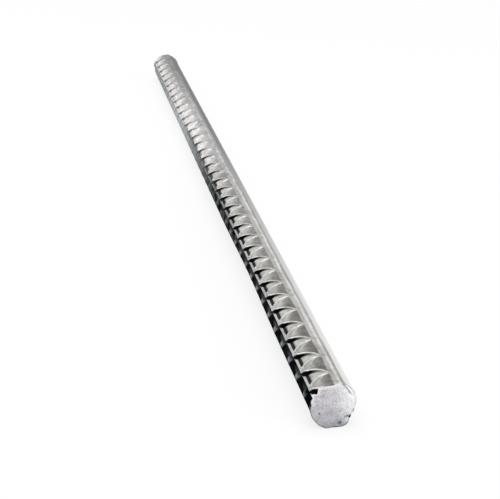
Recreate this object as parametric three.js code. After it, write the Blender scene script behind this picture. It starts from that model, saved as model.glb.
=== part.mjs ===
// Ribbed steel reinforcing bar: a straight cut length of one hot-rolled piece.
//
// Units are millimetres, with +Z up. The bar lies along Y on the plane z = 0, as it comes to
// rest: on one of its low seam ribs and on its round core beside that rib. The origin is on that
// plane, under the middle of the bar.
//
// The rolled section is a round core with four ribs that run the whole length. Two main ribs run
// down the middle of the two ribbed sides, half a turn apart. Two low seam ribs, also half a turn
// apart, run between those sides, where the rolls met.

import * as THREE from 'three';

// Driving dimensions
const BAR_LENGTH = 1000;
const CORE_DIAMETER = 27.4;
const MAIN_RIB = { height: 1.3, crestWidth: 1.1, footWidth: 3.1 };
const SEAM_RIB = { height: 0.5, crestWidth: 1.4, footWidth: 4.0 };
const SEAM_TO_MAIN = THREE.MathUtils.degToRad(76); // turn from each seam rib to the next main rib
const EDGE_BREAK = 0.4; // radius of the worn edge round each cut face

// Fineness of the faceted surface
const CORE_STEP = THREE.MathUtils.degToRad(4); // largest turn between two points on the core
const FLANK_STEPS = 4; // straight stretches up each side of a rib
const EDGE_STEPS = 2; // straight stretches round each worn edge

// Look of the mill surface
const STEEL = { color: 0xa9a8a5, roughness: 0.5, metalness: 0.85 };

const QUARTER_TURN = Math.PI / 2;
const HALF_TURN = Math.PI;
const coreRadius = CORE_DIAMETER / 2;

// A point of the section. The angle is counted from straight down towards +X.
function polar(angle, radius) {
  return new THREE.Vector2(radius * Math.sin(angle), -radius * Math.cos(angle));
}

// Height of a rib's surface over the core, at a distance from the rib's middle line: flat across
// the crest, then an S-shaped flank down to the foot.
function ribHeight(rib, distance) {
  const foot = rib.footWidth / 2;
  const crest = rib.crestWidth / 2;
  return rib.height * THREE.MathUtils.smoothstep(foot - Math.abs(distance), 0, foot - crest);
}

// Evenly spaced values from one number to another, both included.
function spaced(from, to, steps) {
  return Array.from({ length: steps + 1 }, (_, i) => THREE.MathUtils.lerp(from, to, i / steps));
}

// Where a rib's points stand across it, from foot to foot, as arc lengths on the core.
function ribDistances(rib) {
  const climb = spaced(-rib.footWidth / 2, -rib.crestWidth / 2, FLANK_STEPS);
  return [...climb, ...climb.map((distance) => -distance).reverse()];
}

// Points over one rib, from foot to foot.
function ribPoints(rib, middle) {
  return ribDistances(rib).map((distance) => (
    polar(middle + distance / coreRadius, coreRadius + ribHeight(rib, distance))
  ));
}

// How far round from the lowest point a rib's middle lies when the rib and the core both touch
// the floor: the largest turn that any of the rib's points needs to lie on or above it.
function restingAngle(rib) {
  return Math.max(...ribDistances(rib).map((distance) => (
    distance / coreRadius + Math.acos(coreRadius / (coreRadius + ribHeight(rib, distance)))
  )));
}

// Points on the bare core between two ribs, without the feet that bound it.
function corePoints(rib, middle, nextRib, nextMiddle) {
  const start = middle + rib.footWidth / 2 / coreRadius;
  const end = nextMiddle - nextRib.footWidth / 2 / coreRadius;
  const steps = Math.max(2, Math.ceil((end - start) / CORE_STEP));
  return spaced(start, end, steps).slice(1, -1).map((angle) => polar(angle, coreRadius));
}

// The rolled section as it lies, from the seam rib beside the lowest point. Its second half is
// the first one turned half a turn.
function rolledSection() {
  const seam = -restingAngle(SEAM_RIB);
  const main = seam + SEAM_TO_MAIN;
  const half = [
    ...ribPoints(SEAM_RIB, seam),
    ...corePoints(SEAM_RIB, seam, MAIN_RIB, main),
    ...ribPoints(MAIN_RIB, main),
    ...corePoints(MAIN_RIB, main, SEAM_RIB, seam + HALF_TURN),
  ];
  return new THREE.Shape([...half, ...half.map((point) => point.clone().negate())]);
}

// The section carried along the bar, with its edges worn round at both cuts.
function barGeometry() {
  return new THREE.ExtrudeGeometry(rolledSection(), {
    depth: BAR_LENGTH - 2 * EDGE_BREAK,
    steps: 1,
    bevelEnabled: true,
    bevelThickness: EDGE_BREAK,
    bevelSize: EDGE_BREAK,
    bevelOffset: -EDGE_BREAK,
    bevelSegments: EDGE_STEPS,
  });
}

const bar = new THREE.Mesh(barGeometry(), new THREE.MeshStandardMaterial(STEEL));
bar.name = 'ribbed_bar';
bar.rotation.x = QUARTER_TURN; // the extrusion runs along -Y and the section stands upright
bar.position.set(0, BAR_LENGTH / 2 - EDGE_BREAK, coreRadius);

const model = new THREE.Group();
model.add(bar);

export default model;
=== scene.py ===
"""Looks of a ribbed steel reinforcing bar, one hot-rolled piece lying on a pale floor.

The bar lies along +Y. Its near end, at the lowest Y, is the cut face that shows.
"""

import logging
import math
from dataclasses import dataclass, field
from enum import Enum
from typing import Any, Sequence

import bpy
import numpy as np
from mathutils import Euler, Matrix, Vector


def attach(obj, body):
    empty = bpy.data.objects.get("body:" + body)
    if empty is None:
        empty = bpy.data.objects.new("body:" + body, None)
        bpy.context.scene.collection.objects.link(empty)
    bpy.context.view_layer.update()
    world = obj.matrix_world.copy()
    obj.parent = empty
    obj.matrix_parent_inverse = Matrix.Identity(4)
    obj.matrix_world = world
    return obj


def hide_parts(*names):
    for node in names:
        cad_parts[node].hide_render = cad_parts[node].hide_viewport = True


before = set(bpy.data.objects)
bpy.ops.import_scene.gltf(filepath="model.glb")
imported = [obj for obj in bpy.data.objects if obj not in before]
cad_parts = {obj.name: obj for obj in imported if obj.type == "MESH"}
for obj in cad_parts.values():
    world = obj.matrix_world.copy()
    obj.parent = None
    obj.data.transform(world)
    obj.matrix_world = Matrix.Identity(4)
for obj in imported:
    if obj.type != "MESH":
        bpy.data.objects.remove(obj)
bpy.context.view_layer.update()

MM = 0.001
BAR_NODE = "ribbed_bar"
TABLE_SIZE = 64  # numbers along each side of a random table
FILLET_POWER = 8  # how sharply ribs meet: the higher, the smaller their fillets

log = logging.getLogger("bar")


# ---------------------------------------------------------------- numbers


def smooth(low: float, high: float, value: np.ndarray) -> np.ndarray:
    """S-shaped step: 0 below low, 1 above high, and 3t^2 - 2t^3 between them.

    Args:
        low: where the step starts. It may be above high for a falling step.
        high: where the step ends.
        value: the values to look at.

    Returns:
        The step at each value.
    """
    t = np.clip((value - low) / (high - low), 0.0, 1.0)
    return t * t * (3.0 - 2.0 * t)


def value_noise(x: np.ndarray, y: np.ndarray, seed: int) -> np.ndarray:
    """Smooth random field with one lattice point per unit, between -1 and 1.

    Each lattice square blends its four corner numbers by the S-shaped step of the place in it.

    Args:
        x: first coordinate, in lattice units.
        y: second coordinate, in lattice units.
        seed: number of the random table.

    Returns:
        The field at each point.
    """
    table = np.random.default_rng(seed).uniform(-1.0, 1.0, (TABLE_SIZE, TABLE_SIZE))
    column, row = np.floor(x).astype(int), np.floor(y).astype(int)
    u, v = smooth(0.0, 1.0, x - column), smooth(0.0, 1.0, y - row)
    left, right = column % TABLE_SIZE, (column + 1) % TABLE_SIZE
    low, high = row % TABLE_SIZE, (row + 1) % TABLE_SIZE
    lower = table[left, low] * (1 - u) + table[right, low] * u
    upper = table[left, high] * (1 - u) + table[right, high] * u
    return lower * (1 - v) + upper * v


# ---------------------------------------------------------------- rolled surface


@dataclass(frozen=True)
class Rib:
    """A raised rib with a flat crest. Sizes in millimetres, measured square to the rib.

    The near run is the width of the flank before the crest, towards the near end of the bar on a
    slanted or cross rib. The far run is that of the other flank.
    """

    height: float
    crest: float
    near_run: float
    far_run: float

    def share(self, distance: np.ndarray) -> np.ndarray:
        """Share of the full height at a signed distance from the middle of the crest.

        It is 1 on the crest and falls by an S-shaped step on either flank.

        Args:
            distance: the distances.

        Returns:
            The share at each.
        """
        half = self.crest / 2
        near = smooth(-half - self.near_run, -half, distance)
        far = smooth(half + self.far_run, half, distance)
        return near * far


@dataclass(frozen=True)
class Columns:
    """Places of the grid's columns round the bar.

    The angle is measured from straight up towards +X, and the turn from the main rib of the half.
    The seam arc is measured from the seam that bounds that part of the half, and grows with the
    angle. The shift is how far the pattern of that half has moved along the bar, and the taper is
    how fast its slanted ribs lose height away from the main rib.
    """

    angle: np.ndarray
    turn: np.ndarray
    seam_arc: np.ndarray
    shift: np.ndarray
    taper: np.ndarray


@dataclass(frozen=True)
class RolledPattern:
    """Relief that the rolls press into the bar, over the round core.

    A point is given by its turn from the middle of the main rib of its half and by its distance
    from the near end. The turn grows towards the top seam on both halves, so that the halves are
    mirror images. Lengths are in millimetres. The curves take arrays and shader values alike.
    """

    core_radius: float = 13.7
    main: Rib = Rib(1.3, 1.1, 1.0, 1.0)
    seam: Rib = Rib(0.5, 1.4, 1.3, 1.3)
    slanted: Rib = Rib(1.35, 1.2, 0.8, 1.2)
    cross: Rib = Rib(0.55, 0.9, 0.8, 0.9)
    pitch: float = 26.55  # from one slanted rib to the next
    first_crossing: float = 7.0  # where the first slanted rib crosses the left main rib
    half_shift: float = 17.9  # how far the right half's pattern has moved along the bar
    drop: float = 14.8  # how far a slanted rib moves along the bar up to the side's border
    lower_drop: float = 1.1  # how many times that it moves below the main rib
    bend: float = 0.4  # how much its line bends, 0 for a straight one
    lower_bend: float = 0.8  # the same below the main rib
    hook: float = 2.5  # how much further its tip hooks on
    cross_start: float = 4.9  # from a crossing to the root of the cross rib beyond it
    cross_rise: float = 3.3  # how much further on its tip lies
    branch_start: float = -4.8  # from a crossing to the root of the branch, a painted highlight line with no rib in the relief
    branch_rise: float = 15.5  # how much further on its tip lies
    side_turn: float = math.radians(57.5)  # from a main rib to the border of its side
    edge_turn: float = math.radians(2.5)  # width of the border
    recess: float = 0.05  # how far a ribbed side lies below the core
    cross_root: tuple[float, float] = (math.radians(-2), math.radians(3))  # where it rises
    cross_fade: float = 0.9  # share of the side's turn at which a cross rib starts to fade
    upper_taper: float = 0.8  # how fast slanted ribs fade above the left main rib
    lower_taper: float = 2.0  # the same below both main ribs
    hidden_taper: float = 2.2  # the same above the right main rib
    contact_points: int = 40  # places on the seam rib's flank that are tried against the floor

    @property
    def side_arc(self) -> float:
        """Arc from a main rib to the edge of its side."""
        return self.core_radius * self.side_turn

    def resting_angle(self) -> float:
        """Turn from the lowest point to the middle of the seam rib that the bar rests on.

        It is the largest turn that any point of the rib needs to lie on or above the floor.

        Returns:
            The turn.
        """
        rib = self.seam
        foot = rib.crest / 2 + rib.far_run
        distance = np.linspace(rib.crest / 2, foot, self.contact_points)
        radius = self.core_radius + rib.height * rib.share(distance)
        needed = distance / self.core_radius + np.arccos(self.core_radius / radius)
        return float(needed.max())

    def slant_curve(self, share: Any, bend: Any) -> Any:
        """How far a slanted rib has moved along the bar at a share of the side's turn."""
        # a parabola, steepest at the main rib, whose end hooks on by the share's eighth power
        return share * (self.drop * (1 + bend - share * bend) + self.hook * share**7)

    def slant_slope(self, share: Any, bend: Any) -> Any:
        """Slope of a slanted rib's parabola against the way round the bar."""
        return (1 + bend - share * (2 * bend)) * (self.drop / self.side_arc)

    def cross_curve(self, share: Any) -> Any:
        """How far beyond a crossing the cross rib lies, at a share of the side's turn."""
        # its unrolled line rises by a cube that levels out at the edge of the side
        return self.cross_start + self.cross_rise * (1 - (1 - share) ** 3)

    def branch_curve(self, share: Any) -> Any:
        """How far beyond a crossing the branch lies: a straight line from rib to rib."""
        return self.branch_start + self.branch_rise * share

    def share(self, turn: np.ndarray) -> np.ndarray:
        """Share of the side's turn, from 0 at the main rib to 1 at its edge."""
        return np.clip(np.abs(turn) / self.side_turn, 0.0, 1.0)

    def phase(self, turn: np.ndarray, along: np.ndarray, shift: np.ndarray) -> np.ndarray:
        """Distance along the bar from the first slanted rib, at the same turn.

        Args:
            turn: turn from the main rib.
            along: distance from the near end.
            shift: how far the pattern of that half has moved along the bar.

        Returns:
            The distance.
        """
        return along - self.first_crossing - shift - self.slant_shift(turn)

    def slant_sine(self, turn: np.ndarray) -> np.ndarray:
        """Sine of the angle between a slanted rib and the bar, which grows along the rib.

        Args:
            turn: turn from the main rib.

        Returns:
            1 over the root of 1 plus the slope's square.
        """
        factor = np.where(turn < 0, self.lower_drop, 1.0)
        bend = np.where(turn < 0, self.lower_bend, self.bend)
        return 1 / np.sqrt(1 + (factor * self.slant_slope(self.share(turn), bend)) ** 2)

    def cross_sine(self, turn: np.ndarray) -> np.ndarray:
        """Sine of the angle between a cross rib and the bar."""
        slope = 3 * self.cross_rise * (1 - self.share(turn)) ** 2 / self.side_arc
        return 1 / np.sqrt(1 + slope**2)

    def slant_shift(self, turn: np.ndarray) -> np.ndarray:
        """How far a slanted rib has moved along the bar at a turn, against its crossing.

        Below the main rib it moves further, by a constant factor, and bends more.

        Args:
            turn: turn from the main rib.

        Returns:
            The distance.
        """
        factor = np.where(turn < 0, -self.lower_drop, 1.0)
        bend = np.where(turn < 0, self.lower_bend, self.bend)
        return -factor * self.slant_curve(self.share(turn), bend)

    def cross_offset(self, turn: np.ndarray) -> np.ndarray:
        """Distance along the bar from a slanted rib to the cross rib beyond it."""
        return self.cross_curve(self.share(turn)) - self.slant_shift(turn)

    def fading(self, turn: np.ndarray) -> np.ndarray:
        """Cosine that falls from 1 at the main rib to 0 at the edge of the side."""
        reach = self.side_turn + self.edge_turn
        return np.cos(np.clip(turn / reach, -1.0, 1.0) * math.pi / 2).clip(0.0, 1.0)

    def slanted_share(self, turn: np.ndarray, taper: np.ndarray) -> np.ndarray:
        """Height of a slanted rib along its length: the fading to the power of its taper."""
        return self.fading(turn) ** taper

    def cross_share(self, turn: np.ndarray, taper: np.ndarray) -> np.ndarray:
        """Height of a cross rib along its length: from the main rib to the side's edge.

        It fades where the slanted ribs have more taper than the least one.

        Args:
            turn: turn from the main rib.
            taper: taper of the slanted ribs there.

        Returns:
            Share of the full height.
        """
        start = smooth(*self.cross_root, turn)
        end = smooth(self.side_turn + self.edge_turn, self.side_turn * self.cross_fade, turn)
        return start * end * self.fading(turn) ** (taper - self.upper_taper)

    def nearest(self, distance: np.ndarray) -> np.ndarray:
        """Distance along the bar from the nearest of the lines that repeat at the pitch."""
        return (distance + self.pitch / 2) % self.pitch - self.pitch / 2

    def relief(self, columns: Columns, phase: np.ndarray) -> np.ndarray:
        """Height of the surface over the core.

        The ribs are joined by the eighth root of the sum of the eighth powers of their heights,
        which is their largest height with a small fillet where they meet.

        Args:
            columns: places round the bar.
            phase: distance along the bar from the first slanted rib, for each column.

        Returns:
            The height.
        """
        turn = columns.turn
        floor = -self.recess * smooth(self.side_turn + self.edge_turn, self.side_turn, np.abs(turn))
        slant_distance = self.nearest(phase) * self.slant_sine(turn)
        slanted = self.slanted.share(slant_distance)
        cross_distance = self.nearest(phase - self.cross_offset(turn)) * self.cross_sine(turn)
        cross = self.cross.share(cross_distance)
        shares = [
            (self.main, self.main.share(turn * self.core_radius)),
            (self.seam, self.seam.share(columns.seam_arc)),
            (self.slanted, self.slanted_share(turn, columns.taper) * slanted),
            (self.cross, self.cross_share(turn, columns.taper) * cross),
        ]
        total = sum(((rib.height - floor) * share) ** FILLET_POWER for rib, share in shares)
        return floor + total ** (1 / FILLET_POWER)


@dataclass(frozen=True)
class Lobe:
    """A smooth swelling round the bar: it falls from its middle by an S-shaped step."""

    angle: float
    reach: float
    amount: float

    def at(self, angle: np.ndarray) -> np.ndarray:
        """How much of it there is at an angle."""
        away = np.abs((angle - self.angle + math.pi) % (2 * math.pi) - math.pi)
        return self.amount * smooth(self.reach, 0.0, away)


def lobe(angle: float, reach: float, amount: float) -> Lobe:
    """A lobe whose angle and reach are given in degrees."""
    return Lobe(math.radians(angle), math.radians(reach), amount)


@dataclass(frozen=True)
class Chip:
    """A small hollow in a cut face, at a place of the section seen from beyond that end."""

    x: float
    z: float
    radius: float
    depth: float


@dataclass(frozen=True)
class CutFace:
    """Sheared end of the bar. Sizes in millimetres.

    Angles are measured from straight up, clockwise as seen from beyond the end. The shear has
    pushed the bar's last stretch a little out of round, and it has rolled the edge over.
    """

    edge: float = 0.35  # least width of the rolled-over edge
    edge_lobes: tuple[Lobe, ...] = (
        lobe(92, 42, 1.7),
        lobe(52, 24, 1.6),
        lobe(-5, 22, 0.9),
        lobe(-50, 8, 0.5),
        lobe(-61, 7, -0.25),
        lobe(-83, 12, 0.8),
        lobe(180, 42, 1.4),
        lobe(-135, 40, 0.4),
    )
    edge_length: float = 0.8  # its reach along the bar, as a share of its width
    pushed_lobes: tuple[Lobe, ...] = (
        lobe(-138, 50, 1.1),
        lobe(-76, 30, 0.7),
        lobe(105, 50, -1.6),
        lobe(122, 22, -1.1),
        lobe(127, 28, -1.9),
        lobe(170, 32, 1.0),
        lobe(-125, 14, -0.4),
        lobe(-155, 18, 0.4),
    )
    pushed_reach: float = 8.0  # how far along the bar the shear has pushed it out of round
    grain: float = 0.16  # depth of the torn metal's grain
    grain_layers: tuple[tuple[float, float], ...] = ((3.1, 1.2), (1.3, 1.0), (0.55, 0.6))
    dark_depth: float = 0.5  # depth from which a chip's painted shade is full
    chip_grain: float = 0.8  # size of the noise that makes the chips uneven
    unevenness: float = 0.45  # how much that noise changes their radius
    bowl_floor: float = 0.25  # share of a chip's radius that is flat
    chips: tuple[Chip, ...] = (
        Chip(8.0, -6.6, 1.0, 0.25),
        Chip(6.8, -7.4, 1.3, 0.43),
        Chip(5.4, -8.1, 1.0, 0.3),
        Chip(2.5, -11.0, 1.9, 0.8),
        Chip(-9.2, -4.1, 1.0, 0.6),
        Chip(-6.0, -4.5, 0.7, 0.28),
        Chip(2.7, -4.3, 0.9, 0.25),
        Chip(1.2, 6.6, 0.6, 0.28),
    )

    def edge_width(self, angle: np.ndarray) -> np.ndarray:
        """How far inwards the rolled-over edge reaches at an angle."""
        return self.edge + sum(one.at(angle) for one in self.edge_lobes)

    def edge_depth(self, angle: np.ndarray) -> np.ndarray:
        """How far along the bar the rolled-over edge reaches at an angle."""
        return self.edge_length * self.edge_width(angle)

    def pushed(self, angle: np.ndarray, distance: np.ndarray) -> np.ndarray:
        """How far outwards the surface is pushed, at an angle and a distance from the cut."""
        near = smooth(self.pushed_reach, 0.0, distance)
        return sum(one.at(angle) for one in self.pushed_lobes) * near

    def chipped(self, x: np.ndarray, z: np.ndarray, seed: int) -> tuple[np.ndarray, np.ndarray]:
        """Hollows of the chips at a place of the section.

        Each is a smooth bowl whose radius is uneven by a noise.

        Args:
            x: place across the section, in millimetres.
            z: place up it.
            seed: number of the random table.

        Returns:
            Depth, and how much painted shade the hollow takes, which is less in a shallow one.
        """
        size = self.chip_grain
        uneven = 1 + self.unevenness * value_noise(x / size, z / size, seed)
        shares = [
            smooth(1.0, self.bowl_floor, np.hypot(x - one.x, z - one.z) / one.radius * uneven)
            for one in self.chips
        ]
        depth = sum(one.depth * share for one, share in zip(self.chips, shares))
        dark = [min(1.0, one.depth / self.dark_depth) for one in self.chips]
        return depth, np.max([one * share for one, share in zip(dark, shares)], axis=0)

    def relief(self, x: np.ndarray, z: np.ndarray, seed: int) -> np.ndarray:
        """Grain of the torn metal: layers of smooth noise of a size and strength each.

        Args:
            x: place across the section, in millimetres.
            z: place up it.
            seed: number of the first random table.

        Returns:
            Depth of the grain, above and below the mean.
        """
        layers = [
            value_noise(x / size, z / size, seed + number) * strength
            for number, (size, strength) in enumerate(self.grain_layers)
        ]
        return self.grain * sum(layers)


def steps(keys: Sequence[float], counts: Sequence[int]) -> np.ndarray:
    """Values that run through the keys with so many even steps between each pair.

    Args:
        keys: values to pass through.
        counts: number of steps from each key to the next.

    Returns:
        The values, with the last key.
    """
    parts = [np.linspace(a, b, n, endpoint=False) for a, b, n in zip(keys, keys[1:], counts)]
    return np.concatenate([*parts, [keys[-1]]])


def quads_to_triangles(index: np.ndarray) -> np.ndarray:
    """Two triangles for each square of a grid of vertex numbers, without the empty ones.

    Args:
        index: vertex numbers, row by row.

    Returns:
        The triangles whose three corners differ.
    """
    a, b = index[:-1, :-1].reshape(-1), index[:-1, 1:].reshape(-1)
    c, d = index[1:, 1:].reshape(-1), index[1:, :-1].reshape(-1)
    triangles = np.concatenate([np.stack([a, b, c], 1), np.stack([a, c, d], 1)])
    p, q, r = triangles.T
    return triangles[(p != q) & (q != r) & (p != r)]


def make_mesh(
    name: str,
    points: np.ndarray,
    triangles: np.ndarray,
    attributes: dict[str, np.ndarray],
) -> bpy.types.Object:
    """Puts arrays into a smooth-shaded mesh object, without the vertices that nothing uses.

    Args:
        name: name of the object.
        points: vertex places in metres.
        triangles: three vertex numbers each.
        attributes: one number for each vertex, by name.

    Returns:
        The object, linked into the scene.
    """
    used = np.unique(triangles)
    number = np.full(len(points), -1)
    number[used] = np.arange(len(used))
    points, triangles = points[used], number[triangles]
    mesh = bpy.data.meshes.new(name)
    mesh.vertices.add(len(points))
    mesh.vertices.foreach_set("co", points.astype(np.float32).reshape(-1))
    mesh.loops.add(triangles.size)
    mesh.loops.foreach_set("vertex_index", triangles.astype(np.int32).reshape(-1))
    mesh.polygons.add(len(triangles))
    mesh.polygons.foreach_set("loop_start", np.arange(0, triangles.size, 3, dtype=np.int32))
    mesh.polygons.foreach_set("use_smooth", np.ones(len(triangles), bool))
    mesh.update(calc_edges=True)
    mesh.validate()
    for key, values in attributes.items():
        attribute = mesh.attributes.new(key, "FLOAT", "POINT")
        attribute.data.foreach_set("value", values[used].astype(np.float32))
    piece = bpy.data.objects.new(name, mesh)
    bpy.context.scene.collection.objects.link(piece)
    return piece


class End(Enum):
    """The two cuts of the bar, each with the number of its first random table."""

    NEAR = 3
    FAR = 31

    @property
    def inwards(self) -> float:
        """Direction along Y from the cut into the bar."""
        return 1.0 if self is End.NEAR else -1.0


@dataclass
class RibbedBar:
    """The whole bar: its rolled surface and its two cut faces, as one closed mesh.

    Lengths are in millimetres. The surface is a grid whose columns run along the bar and whose
    rows follow the ribs.
    """

    length: float = 1000.0
    seam_angle: float = math.radians(18.3)  # from straight up to the top seam
    short_turn: float = math.radians(76)  # from the left main rib to the top seam
    pattern: RolledPattern = field(default_factory=RolledPattern)
    cut: CutFace = field(default_factory=CutFace)
    fuller: Lobe = lobe(-114, 52, 0.55)  # swelling of the left side
    slimmer: float = 1.7  # share of that lobe that is taken away at the slimmest place
    slimmest: float = 252.0  # how far that place lies from the near end
    slimmer_reach: float = 140.0  # how far the side is slimmer before and beyond it
    twist: float = math.radians(-4.5)  # of the far half
    twist_start: float = 400.0  # where the twist begins, from the near end
    twist_end: float = 530.0
    edge_rings: int = 5  # rings of the grid on a rolled-over edge
    face_rings: int = 30  # rings of the grid from there to the centre of the cut
    quarter_steps: tuple[int, ...] = (1, 3, 13, 2, 3, 2, 1)  # columns between a quarter's keys
    pitch_steps: tuple[int, ...] = (1, 3, 2, 3, 1, 3, 4, 3, 1)  # rows between a pitch's keys
    row_gap: float = 0.4  # least gap between the feet of two ribs in the grid
    furthest_inner: float = -10.0  # least distance inside the torn face that a point holds
    grain_border: tuple[float, float] = (0.0, 1.2)  # where the grain starts, inside the edge
    chip_border: tuple[float, float] = (-0.3, 0.3)
    chip_tables: int = 7  # from the number of a cut's first random table to its chips' one

    def quarter(self, seam_turn: float) -> np.ndarray:
        """Turns of the grid's columns from a main rib to a seam, closest on the ribs' flanks.

        Args:
            seam_turn: turn of the seam.

        Returns:
            The turns, from 0 to the seam's.
        """
        p = self.pattern
        radius = p.core_radius
        crest, foot = p.main.crest / 2, p.main.crest / 2 + p.main.far_run
        seam_crest, seam_foot = p.seam.crest / 2, p.seam.crest / 2 + p.seam.far_run
        keys = [
            0.0,
            crest / radius,
            foot / radius,
            p.side_turn,
            p.side_turn + p.edge_turn,
            seam_turn - seam_foot / radius,
            seam_turn - seam_crest / radius,
            seam_turn,
        ]
        return steps(keys, self.quarter_steps)

    def columns(self) -> Columns:
        """Places of the columns: the half of the left main rib, then the half of the right one.

        Returns:
            The places.
        """
        long_turn = math.pi - self.short_turn
        left = np.concatenate([-self.quarter(long_turn)[:0:-1], self.quarter(self.short_turn)])[:-1]
        right = np.concatenate([self.quarter(long_turn)[::-1], -self.quarter(self.short_turn)[1:]])
        right = right[:-1]
        left_rib = self.seam_angle - self.short_turn
        angle = np.concatenate([left_rib + left, left_rib + math.pi - right])
        turn = np.concatenate([left, right])
        opposite = np.repeat([math.pi, -math.pi], [len(left), len(right)])
        seam_arc = angle - self.seam_angle + np.where(turn < 0, opposite, 0.0)
        p = self.pattern
        shift = np.repeat([0.0, p.half_shift], [len(left), len(right)])
        taper = np.repeat([p.upper_taper, p.hidden_taper], [len(left), len(right)])
        taper = np.where(turn < 0, p.lower_taper, taper)
        return Columns(angle, turn, seam_arc * p.core_radius, shift, taper)

    def row_shares(self) -> tuple[np.ndarray, np.ndarray]:
        """Key number and share past it of each row of one pitch.

        Returns:
            Numbers and shares.
        """
        key = np.repeat(np.arange(len(self.pitch_steps)), self.pitch_steps)
        share = np.concatenate([np.arange(count) / count for count in self.pitch_steps])
        return key, share

    def phases(self, turn: np.ndarray) -> np.ndarray:
        """Places of the grid's rows along the bar, which follow the ribs.

        Within each pitch the rows run from one slanted rib to the next, through the feet and crest
        edges of both kinds of rib. The cross rib's place is kept clear of the slanted ribs' feet,
        so the rows never cross.

        Args:
            turn: turn of each column.

        Returns:
            Phase of each row and column.
        """
        p = self.pattern
        sine = p.slant_sine(turn)
        crest = p.slanted.crest / 2 / sine
        far_foot = crest + p.slanted.far_run / sine
        near_foot = crest + p.slanted.near_run / sine
        cross_sine = p.cross_sine(turn)
        cross_crest = p.cross.crest / 2 / cross_sine
        cross_foot = cross_crest + p.cross.far_run / cross_sine
        middle = np.clip(
            p.cross_offset(turn),
            far_foot + cross_foot + self.row_gap,
            p.pitch - near_foot - cross_foot - self.row_gap,
        )
        keys = np.stack(
            [
                np.zeros_like(turn),
                crest,
                far_foot,
                middle - cross_foot,
                middle - cross_crest,
                middle + cross_crest,
                middle + cross_foot,
                p.pitch - near_foot,
                p.pitch - crest,
                np.full_like(turn, p.pitch),
            ]
        )
        key, share = self.row_shares()
        cell = keys[key] + (keys[key + 1] - keys[key]) * share[:, None]
        reach = p.lower_drop * (p.drop + p.hook) + p.half_shift
        first = math.floor((-p.first_crossing - reach) / p.pitch) - 1
        last = math.ceil((self.length - p.first_crossing + reach) / p.pitch) + 1
        starts = p.pitch * np.arange(first, last)
        return (starts[:, None, None] + cell[None]).reshape(-1, len(turn))

    def place(self, angle: np.ndarray, radius: np.ndarray, along: np.ndarray) -> np.ndarray:
        """Points in the bar's frame, in metres: x is radius times sine, z is plus cosine.

        The far half is twisted a little. The floor stops what would lie below it.

        Args:
            angle: angle round the bar from straight up.
            radius: distance from the bar's middle line.
            along: distance from the near end.

        Returns:
            The points.
        """
        angle = angle + self.twist * smooth(self.twist_start, self.twist_end, along)
        x = radius * np.sin(angle)
        z = np.maximum(self.pattern.core_radius + radius * np.cos(angle), 0.0)
        y = along - self.length / 2
        return np.stack(np.broadcast_arrays(x, y, z), axis=-1) * MM

    def swelling(self, angle: np.ndarray, along: np.ndarray) -> np.ndarray:
        """How far the surface stands out of round: at the two cuts, and low on one side.

        That side is a little full, except around the slimmest place.

        Args:
            angle: angle round the bar from straight up.
            along: distance from the near end.

        Returns:
            The distance outwards.
        """
        cuts = self.cut.pushed(angle, along) + self.cut.pushed(-angle, self.length - along)
        slimmed = self.slimmer * smooth(self.slimmer_reach, 0.0, np.abs(along - self.slimmest))
        return cuts + self.fuller.at(angle) * (1.0 - slimmed)

    def held(
        self, columns: Columns, phase: np.ndarray, inner: np.ndarray, chipped: np.ndarray
    ) -> dict[str, np.ndarray]:
        """What each point holds for the finish.

        Args:
            columns: places round the bar.
            phase: distance along the bar from the first slanted rib.
            inner: distance inside the border of the torn face, negative outside it.
            chipped: how dark the point is in a chip.

        Returns:
            The numbers by name.
        """
        return {
            "phase": np.broadcast_to(phase, inner.shape),
            "turn": np.broadcast_to(columns.turn, inner.shape),
            "seam": np.broadcast_to(columns.seam_arc, inner.shape),
            "inner": inner,
            "chipped": chipped,
        }

    def side(self) -> tuple[np.ndarray, np.ndarray, dict[str, np.ndarray]]:
        """The rolled surface between the two cuts.

        Rows beyond a cut fold onto it: they share the vertex at the cut, and the empty triangles
        between them are dropped.

        Returns:
            Points, triangles, and what each point holds for the finish.
        """
        columns = self.columns()
        angle, turn = columns.angle, columns.turn
        shift = self.pattern.slant_shift(turn) + self.pattern.first_crossing + columns.shift
        along = self.phases(turn) + shift
        near = self.cut.edge_depth(angle)[None, :]
        far = self.length - self.cut.edge_depth(-angle)[None, :]
        along = np.clip(along, near, far)
        first = (along <= near).sum(axis=0) - 1
        last = along.shape[0] - (along >= far).sum(axis=0)
        phase = along - shift
        height = self.pattern.relief(columns, phase)
        radius = self.pattern.core_radius + height + self.swelling(angle[None, :], along)
        points = self.place(angle[None, :], radius, along)
        rows, count = along.shape
        row = np.clip(np.arange(rows)[:, None], first[None, :], last[None, :])
        index = row * count + np.arange(count)[None, :]
        wrapped = np.concatenate([index, index[:, :1]], axis=1)
        outside = np.maximum(
            near - along - self.cut.edge_width(angle), along - far - self.cut.edge_width(-angle)
        )
        inner = np.maximum(outside, self.furthest_inner)
        held = self.held(columns, phase, inner, np.zeros(along.shape))
        held = {name: values.reshape(-1) for name, values in held.items()}
        return points.reshape(-1, 3), quads_to_triangles(wrapped), held

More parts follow.
